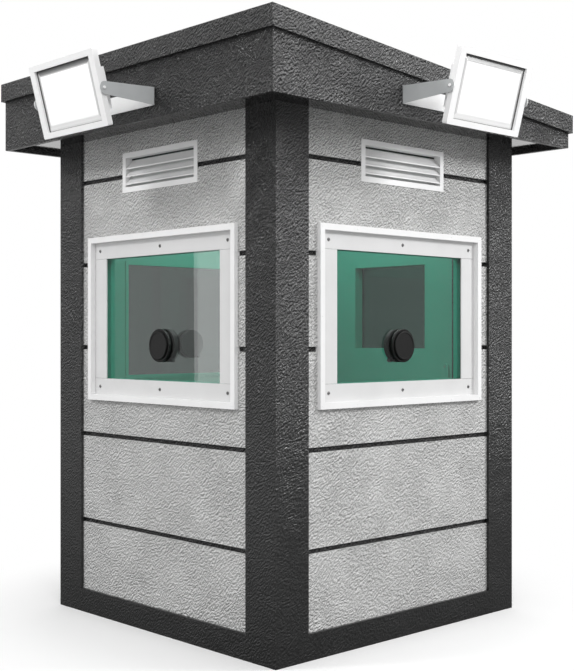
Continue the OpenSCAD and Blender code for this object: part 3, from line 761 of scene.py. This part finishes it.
# Insect screens: profile of the frame as (inset, depth), lap of the wires, half a wire to the pitch
SCREEN_PROFILE = (
    (0.0, -0.004), (0.005, -0.004), (0.006, -0.003), (0.006, 0.003), (0.005, 0.004), (0.0, 0.004),
)
SCREEN_LAP = 0.003
WIRE_SHARE = 0.2

# Floodlights: profile of the seal as (inset, depth), places and rings of the brackets' bolts
SEAL_PROFILE = ((0.0, 0.0058), (0.0014, 0.0058), (0.0014, 0.001), (0.001, -0.0008), (0.0, -0.001))
BOLT_HALF = 0.16
BOLT_RISE = 0.018
BOLT_STEPS = 24
WASHER_RINGS = ((0.004, 0.0016, 0), (0.0105, 0.0016, 0), (0.0115, 0.001, 0), (0.0115, -0.0005, 0))
BOLT_RINGS = (
    (0.002, 0.0078, 0), (0.0062, 0.0078, 0), (0.0072, 0.0068, 6), (0.0075, 0.0012, 6), (0.007, 0.001, 6),
)

# Door: screws of a hinge as (height, distance from the hinge line), how far hinges and handles stand
# out, screws of a handle, and the lock below it with the rings of its cylinder and keyway
HINGE_SCREWS = ((-0.04, 0.035), (0.0, 0.026), (0.04, 0.035))
HINGE_SCREW = 0.0048
HINGE_THICK = 0.004
HANDLE_SCREWS = (-0.08, 0.08)
HANDLE_SCREW = 0.0045
HANDLE_THICK = 0.008
LOCK_DROP = 0.052
LOCK_STEPS = 24
LOCK_RINGS = (
    (0.0022, 0.0012, 4), (0.0032, 0.0012, 4), (0.0034, 0.0034, 4), (0.0072, 0.0036, 0),
    (0.0082, 0.0028, 0), (0.0084, 0.0, 0), (0.008, -0.0006, 0),
)


def finishes():
    return bpy.context.scene.booth_finishes


def fastenings():
    return bpy.context.scene.booth_fastenings


def material(name, maker, rgb, *values):
    """A finish by name, made once."""
    found = bpy.data.materials.get(name)
    return found or maker(name, tuple(rgb), *values)


def white_paint():
    return material("white paint", smooth_paint, finishes().white)


def trim_paint():
    return material("trim paint", smooth_paint, finishes().trim)


def steel():
    return material("brushed steel", brushed_steel, finishes().steel)


# Steel painted darker than the handles' steel: painted shade, so the small screw heads and lock cylinders
# read as shaded
def shade_darkened_steel():
    return material("browned steel", brushed_steel, shade(finishes().steel, 0.4))


class BOOTH_OT_coat_shell(Operator):
    """Dark coat on the posts, rails, wall cores and roof"""

    bl_idname = "booth.coat_shell"
    bl_label = "Coat the shell"

    def execute(self, context):
        edge = fastenings().coat_edge
        coat = material("dark grained coat", wrinkled_coat, finishes().coat)
        for node in COAT_NODES:
            dress(node, coat, edge)
        # The soffit is nearly smooth and mirrors the distance.
        dress("soffit", material("dark soffit coat", wrinkled_coat, finishes().coat, 1.0, 0.0002, 0.03), edge)
        low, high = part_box("front_glass")
        limit, top = abs(low[1]) - CORE_FACE, high[2] + CORE_RISE
        core = material("groove coat", groove_coat, finishes().core, tuple(finishes().room), limit, top)
        for node in CORE_NODES:
            dress(node, core)
        return {"FINISHED"}


class BOOTH_OT_clad_walls(Operator):
    """Grained pale coat on the planks of the walls and the door"""

    bl_idname = "booth.clad_walls"
    bl_label = "Clad the walls"

    def execute(self, context):
        stucco = material("pale grained coat", pale_coat, finishes().stucco)
        for node in CLAD_NODES:
            dress(node, stucco, fastenings().thin_edge)
        return {"FINISHED"}


class BOOTH_OT_line_room(Operator):
    """Lining, window beads, sleeves of the window openings and floor of the room"""

    bl_idname = "booth.line_room"
    bl_label = "Line the room"

    def execute(self, context):
        lining = material("room lining", smooth_paint, finishes().room, 0.5)
        sizes = fastenings()
        for side, glass in WINDOW_GLASS.items():
            self.sleeve(side, glass, sizes.glass_lap, sizes.wall_thick, lining, "booth")
        self.sleeve("back", "door_glass", sizes.door_lap, sizes.door_thick, lining, "door")
        for node in ("inner_lining", "door_lining"):
            dress(node, lining)
        dress("window_beads", lining, sizes.bead_edge)
        dress("floor_panel", material("floor sheet", speckled_sheet, finishes().floor))
        return {"FINISHED"}

    def sleeve(self, side, glass, lap, back, finish, body):
        """Thin sleeve round an opening, from the pane to the inner face of the wall."""
        pane = in_wall(side, glass)
        start, thick = pane.far + PANE_GAP, fastenings().sleeve
        bm = bmesh.new()
        place = wall_frame(side) @ Matrix.Translation((pane.middle, 0.0, (pane.low + pane.high) / 2.0))
        half_w = pane.half - lap - SLEEVE_FIT
        half_h = (pane.high - pane.low) / 2.0 - lap - SLEEVE_FIT
        chamfer = 0.4 * thick
        mitred_ring(bm, place, half_w, half_h, (
            (0.0, start), (thick, start), (thick, back - chamfer), (thick - chamfer, back), (0.0, back),
        ))
        settle(glass + "_sleeve", bm, finish, body)


class BOOTH_OT_glaze(Operator):
    """Glass of the windows and the door"""

    bl_idname = "booth.glaze"
    bl_label = "Glaze the windows"

    def execute(self, context):
        index = finishes().index
        green = material("green pane", pane_glass, finishes().green_glass, index)
        for node in ("front_glass", "right_glass"):
            dress(node, green)
        dress("left_glass", material("grey pane", pane_glass, finishes().grey_glass, index))
        dress("door_glass", material("smoked pane", pane_glass, finishes().door_glass, index))
        return {"FINISHED"}


class BOOTH_OT_frame_windows(Operator):
    """White trims and plates, with their screws and pins"""

    bl_idname = "booth.frame_windows"
    bl_label = "Frame the windows"

    def execute(self, context):
        sizes = fastenings()
        dress("window_trims", trim_paint(), sizes.trim_edge)
        for node in ("window_plates", "door_window_trim"):
            dress(node, white_paint(), sizes.thin_edge)
        for side in WINDOW_GLASS:
            self.fasten(side, sizes)
        return {"FINISHED"}

    def fasten(self, side, sizes):
        """Screws of a window's upper and lower plates and pins of its trim."""
        pane = in_wall(side, WINDOW_GLASS[side])
        low, high = pane.low + sizes.glass_lap, pane.high - sizes.glass_lap
        plate_half = pane.half - sizes.glass_lap + sizes.plate_side
        screws = bmesh.new()
        for z in (low - sizes.plate_end / 2.0, high + sizes.plate_end / 2.0):
            for x in (-plate_half + sizes.screw_inset, 0.0, plate_half - sizes.screw_inset):
                screw_head(screws, outwards(side, x, pane.near - sizes.plate_thick, z), sizes.plate_screw)
        settle("plate_screws_" + side, screws, shade_darkened_steel(), "booth")
        pins = bmesh.new()
        across = plate_half + sizes.trim_wide / 2.0
        top = high + sizes.plate_end + sizes.trim_wide / 2.0
        foot = low - sizes.plate_end - sizes.trim_wide / 2.0
        middle = (low + high) / 2.0
        rows = (middle - PIN_STEP, middle, middle + PIN_STEP)
        spots = [(x, z) for x in (-across, -PIN_HALF, PIN_HALF, across) for z in (foot, top)]
        spots += [(x, z) for x in (-across, across) for z in rows]
        for x, z in spots:
            pin_head(pins, outwards(side, x, pane.near - sizes.trim_deep, z), sizes.trim_pin)
        settle("trim_pins_" + side, pins, trim_paint(), "booth")


class BOOTH_OT_fit_talk_throughs(Operator):
    """Black talk-throughs in the panes"""

    bl_idname = "booth.fit_talk_throughs"
    bl_label = "Fit the talk-throughs"

    def execute(self, context):
        dress("talk_through_units", material("black plastic", moulded_plastic, finishes().black))
        return {"FINISHED"}


class BOOTH_OT_fit_vents(Operator):
    """White louvre vents, with an insect screen behind their blades"""

    bl_idname = "booth.fit_vents"
    bl_label = "Fit the vents"

    def execute(self, context):
        sizes = fastenings()
        paint = material("vent paint", vent_paint, shade(finishes().trim, 1.1))
        dress("vent_grilles", paint, sizes.fine_edge)
        half_w, half_h = (size / 2.0 - RING_FIT for size in sizes.vent_hole)
        bm = bmesh.new()
        for side in WINDOW_GLASS:
            place = wall_frame(side) @ Matrix.Translation((0.0, sizes.screen_deep, sizes.vent_high))
            mitred_ring(bm, place, half_w, half_h, SCREEN_PROFILE)
            self.wires(bm, place, half_w - SCREEN_LAP, half_h - SCREEN_LAP, sizes.screen_pitch)
        coat = material("screen coat", moulded_plastic, finishes().seal)
        settle("vent_screens", bm, coat, "booth")
        return {"FINISHED"}

    def wires(self, bm, place, half_w, half_h, pitch):
        """Upright wires of a screen in front of its level wires."""
        thick = WIRE_SHARE * pitch
        outline = ((-thick, 0.0), (0.0, -thick), (thick, 0.0), (0.0, thick))
        for reach, length, upright in ((half_w, half_h, True), (half_h, half_w, False)):
            count = int(2.0 * reach / pitch)
            for i in range(1, count):
                at = -reach + 2.0 * reach * i / count
                rings = []
                for end in (-length, length):
                    spots = (
                        (at + a, d - thick, end) if upright else (end, d + thick, at + a) for a, d in outline
                    )
                    rings.append([bm.verts.new(place @ Vector(spot)) for spot in spots])
                band(bm, *rings)
                bm.faces.new(rings[0][::-1])
                bm.faces.new(rings[1])


class BOOTH_OT_hang_floodlights(Operator):
    """Floodlights on their brackets"""

    bl_idname = "booth.hang_floodlights"
    bl_label = "Hang the floodlights"

    def execute(self, context):
        colours, sizes = finishes(), fastenings()
        lamp = material("lamp coat", smooth_paint, shade(colours.trim, 1.08), 0.34)
        for across, side in enumerate(LAMP_SIDES):
            zinc = material(side + " zinc coat", bracket_coat, colours.zinc, tuple(colours.trim), 1 - across)
            lens = material(
                side + " frosted lens", frosted_lens, colours.lens, colours.glow, across, sizes.lamp_open[:]
            )
            dress(side + "_light_bracket", zinc, sizes.fine_edge)
            dress(side + "_light_housing", lamp, sizes.lamp_edge)
            dress(side + "_light_lens", lens)
            self.seal(side, sizes)
            self.bolts(side, sizes)
        return {"FINISHED"}

    def bolts(self, side, sizes):
        """Washers and heads that hold a bracket on its fascia."""
        face = in_wall(side, side + "_light_bracket").far - sizes.strap
        bm = bmesh.new()
        for x in (-BOLT_HALF, BOLT_HALF):
            place = outwards(side, x, face, lamp_pivot(side)[2] + BOLT_RISE)
            lathe(bm, place, WASHER_RINGS, BOLT_STEPS)
            lathe(bm, place, BOLT_RINGS, BOLT_STEPS)
        settle(side + "_bracket_bolts", bm, steel(), "booth")

    def seal(self, side, sizes):
        """Rubber seal in the gap between a lens and its rim."""
        half_w, half_h = (size / 2.0 - RING_FIT for size in sizes.lamp_open)
        bm = bmesh.new()
        place = lamp_frame(side) @ Matrix.Translation((0.0, 0.0, sizes.lamp_rise))
        mitred_ring(bm, place, half_w, half_h, SEAL_PROFILE)
        rubber = material("rubber", moulded_plastic, finishes().seal)
        settle(side + "_light_seal", bm, rubber, side + "_light")


class BOOTH_OT_hang_door(Operator):
    """Handles and hinges of the door, with their screws and locks"""

    bl_idname = "booth.hang_door"
    bl_label = "Hang the door"

    def execute(self, context):
        sizes = fastenings()
        for node in ("door_hinges_frame", "door_hinges_leaf"):
            dress(node, steel(), sizes.fine_edge)
        low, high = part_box("door_leaf")
        middle = (low[1] + high[1]) / 2.0
        handle = material("handle steel", handle_steel, finishes().steel, tuple(finishes().room), middle)
        dress("door_handles", handle, sizes.fine_edge)
        self.hinge_screws("leaf", -1.0, "door", sizes)
        self.hinge_screws("frame", 1.0, "booth", sizes)
        self.locks(sizes)
        return {"FINISHED"}

    def hinge_screws(self, name, way, body, sizes):
        """Screws of the hinges' halves on one side of the hinge line."""
        line, *rows = sizes.hinge_at
        bm = bmesh.new()
        for row in rows:
            for z, across in HINGE_SCREWS:
                screw_head(bm, outwards("back", line + way * across, -HINGE_THICK, row + z), HINGE_SCREW)
        settle("hinge_screws_" + name, bm, shade_darkened_steel(), body)

    def locks(self, sizes):
        """Screws and lock cylinders of the handles, outside and inside."""
        x, height = sizes.handle_at
        bm = bmesh.new()
        for face, turn in ((-HANDLE_THICK, 0.0), (sizes.door_thick + HANDLE_THICK, HALF_TURN)):
            for z in HANDLE_SCREWS:
                screw_head(bm, outwards("back", x, face, height + z, turn), HANDLE_SCREW)
            lathe(bm, outwards("back", x, face, height - LOCK_DROP, turn), LOCK_RINGS, LOCK_STEPS)
        settle("handle_locks", bm, shade_darkened_steel(), "door")


# Stage


# Lamps by the setting that holds their power: name, place, target, width and height
LAMPS = {
    "key": ("key lamp", (4.1, -3.3, 4.2), (0.4, -0.4, 1.4), (2.4, 2.4)),
    "rim": ("rim lamp", (4.5, 3.4, 4.0), (0.9, -0.2, 1.7), (1.0, 1.0)),
    "side": ("side lamp", (-1.8, -4.9, 4.8), (0.0, -0.9, 1.6), (0.8, 0.8)),
    "strip": ("strip lamp", (-3.32, -4.33, 1.6), (0.2, -0.7, 1.4), (1.2, 3.4)),
    "room": ("room light", (0.0, 0.0, 2.15), (0.0, 0.0, 0.0), (0.9, 0.9)),
}

# Sky at the horizon and overhead: as it lights the booth, and as the booth mirrors it
DOME_LOW, DOME_HIGH = 0.52, 0.95
MIRROR_LOW, MIRROR_HIGH = 0.42, 1.2

# Floor: half its width, the gap below the booth, its tones to the camera, in mirror images and to
# diffuse rays, where it fades to white and its mirror image to the horizon's tone, and the soft
# border of the mirror image's white corner
FLOOR_HALF = 30.0
FLOOR_GAP = 0.0005
FLOOR_DARK, FLOOR_PALE = 0.88, 0.9
FLOOR_MIRROR, FLOOR_BOUNCE = 0.15, 0.36
FADE = (1.0, 1.75)
HORIZON = (8.0, 12.0)
CORNER = 3.0


class BOOTH_OT_set_stage(Operator):
    """Camera, floor, lamps and surroundings"""

    bl_idname = "booth.set_stage"
    bl_label = "Set the stage"

    def execute(self, context):
        stage = context.scene.booth_stage
        self.camera(context, stage)
        self.world(context, stage)
        self.floor(context, stage)
        for key, lamp in LAMPS.items():
            self.lamp(context, *lamp, getattr(stage, key))
        context.scene.view_settings.view_transform = "Standard"
        return {"FINISHED"}

    def camera(self, context, stage):
        data = bpy.data.cameras.new("camera")
        data.sensor_width = 36.0
        data.lens = stage.lens
        eye = bpy.data.objects.new("camera", data)
        eye.location = stage.eye
        eye.rotation_euler = (QUARTER_TURN, 0.0, stage.heading)
        context.scene.collection.objects.link(eye)
        context.scene.camera = eye

    def world(self, context, stage):
        """Graded sky, brighter to the right in mirror images, and white to the camera and through glass."""
        world = bpy.data.worlds.new("studio")
        world.use_nodes = True
        tree = world.node_tree
        tree.nodes.clear()
        wire = Wire(tree)
        seen, gloss, through = wire.rays("Camera", "Glossy", "Transmission")
        right, _, height = wire.place("Generated").split()
        dome = height.ramp(0.0, 0.8).blend(grey(DOME_LOW), grey(DOME_HIGH))
        above = (0.35 + 0.65 * right.ramp(-0.9, 0.9)) * height.ramp(0.0, 0.4)
        sky = gloss.blend(dome, above.blend(grey(MIRROR_LOW), grey(MIRROR_HIGH)))
        soft = wire.node("ShaderNodeBackground", None, {"Color": sky, "Strength": stage.sky})
        bright = wire.node("ShaderNodeBackground", None, {"Color": colour(WHITE), "Strength": 1.0})
        out = tree.nodes.new("ShaderNodeOutputWorld")
        tree.links.new(seen.most(through).mix(soft, bright).socket, out.inputs["Surface"])
        context.scene.world = world

    def floor(self, context, stage):
        """Pale floor that keeps the booth's shadow and fades to white around it. Mirror images show
        its distance as dim as the sky, but white at the back left."""
        bm = bmesh.new()
        bmesh.ops.create_grid(bm, x_segments=2, y_segments=2, size=FLOOR_HALF)
        mesh = bpy.data.meshes.new("studio floor")
        bm.to_mesh(mesh)
        bm.free()
        finish = Finish("studio floor")
        place = finish.place()
        seen, through, gloss = finish.wire.rays("Camera", "Transmission", "Glossy")
        reach = place.vector("LENGTH", out="Value")
        pale = finish.noise(place, 2.0).blend(grey(FLOOR_DARK), grey(FLOOR_PALE))
        unseen = gloss.blend(grey(FLOOR_BOUNCE), grey(FLOOR_MIRROR))
        matt = finish.principled(
            Base_Color=seen.blend(unseen, pale), Roughness=0.9, Specular_IOR_Level=0.1,
        )
        white, dim = finish.emission(1.0), finish.emission(MIRROR_LOW * stage.sky)
        x, y, _ = place.split()
        corner = x.ramp(-CORNER, 0.0, 1.0, 0.0) * y.ramp(0.0, CORNER)
        mirrored = (reach.ramp(*HORIZON) * gloss).mix(matt, corner.mix(dim, white))
        mesh.materials.append(finish.close((reach.ramp(*FADE) * seen).most(through).mix(mirrored, white)))
        ground = bpy.data.objects.new("studio floor", mesh)
        ground.location = (0.0, 0.0, -FLOOR_GAP)
        context.scene.collection.objects.link(ground)

    def lamp(self, context, name, place, target, size, power):
        data = bpy.data.lights.new(name, "AREA")
        data.shape = "RECTANGLE"
        data.size, data.size_y = size
        data.energy = power
        lamp = bpy.data.objects.new(name, data)
        lamp.location = place
        lamp.rotation_euler = (Vector(target) - Vector(place)).to_track_quat("-Z", "Y").to_euler()
        lamp.visible_camera = False
        context.scene.collection.objects.link(lamp)


STEPS = (
    BOOTH_OT_coat_shell, BOOTH_OT_clad_walls, BOOTH_OT_line_room, BOOTH_OT_glaze, BOOTH_OT_frame_windows,
    BOOTH_OT_fit_talk_throughs, BOOTH_OT_fit_vents, BOOTH_OT_hang_floodlights, BOOTH_OT_hang_door,
    BOOTH_OT_set_stage,
)


class BOOTH_PT_panel(Panel):
    """Steps and settings of the booth"""

    bl_label = "Guard booth"
    bl_idname = "BOOTH_PT_panel"
    bl_space_type = "VIEW_3D"
    bl_region_type = "UI"
    bl_category = "Booth"

    def draw(self, context):
        for step in STEPS:
            self.layout.operator(step.bl_idname)
        for name in SETTINGS:
            group = getattr(context.scene, name)
            box = self.layout.box()
            for key in group.__annotations__:
                box.prop(group, key)


SETTINGS = {
    "booth_finishes": BoothFinishes, "booth_fastenings": BoothFastenings, "booth_stage": BoothStage,
}


def register():
    for group in SETTINGS.values():
        bpy.utils.register_class(group)
    for name, group in SETTINGS.items():
        setattr(bpy.types.Scene, name, PointerProperty(type=group))
    for step in STEPS:
        bpy.utils.register_class(step)
    bpy.utils.register_class(BOOTH_PT_panel)


def unregister():
    bpy.utils.unregister_class(BOOTH_PT_panel)
    for step in reversed(STEPS):
        bpy.utils.unregister_class(step)
    for name, group in SETTINGS.items():
        delattr(bpy.types.Scene, name)
        bpy.utils.unregister_class(group)


def main():
    register()
    bpy.ops.booth.coat_shell()
    bpy.ops.booth.clad_walls()
    bpy.ops.booth.line_room()
    bpy.ops.booth.glaze()
    bpy.ops.booth.frame_windows()
    bpy.ops.booth.fit_talk_throughs()
    bpy.ops.booth.fit_vents()
    bpy.ops.booth.hang_floodlights()
    bpy.ops.booth.hang_door()
    bpy.ops.booth.set_stage()


if __name__ == "__main__":
    main()
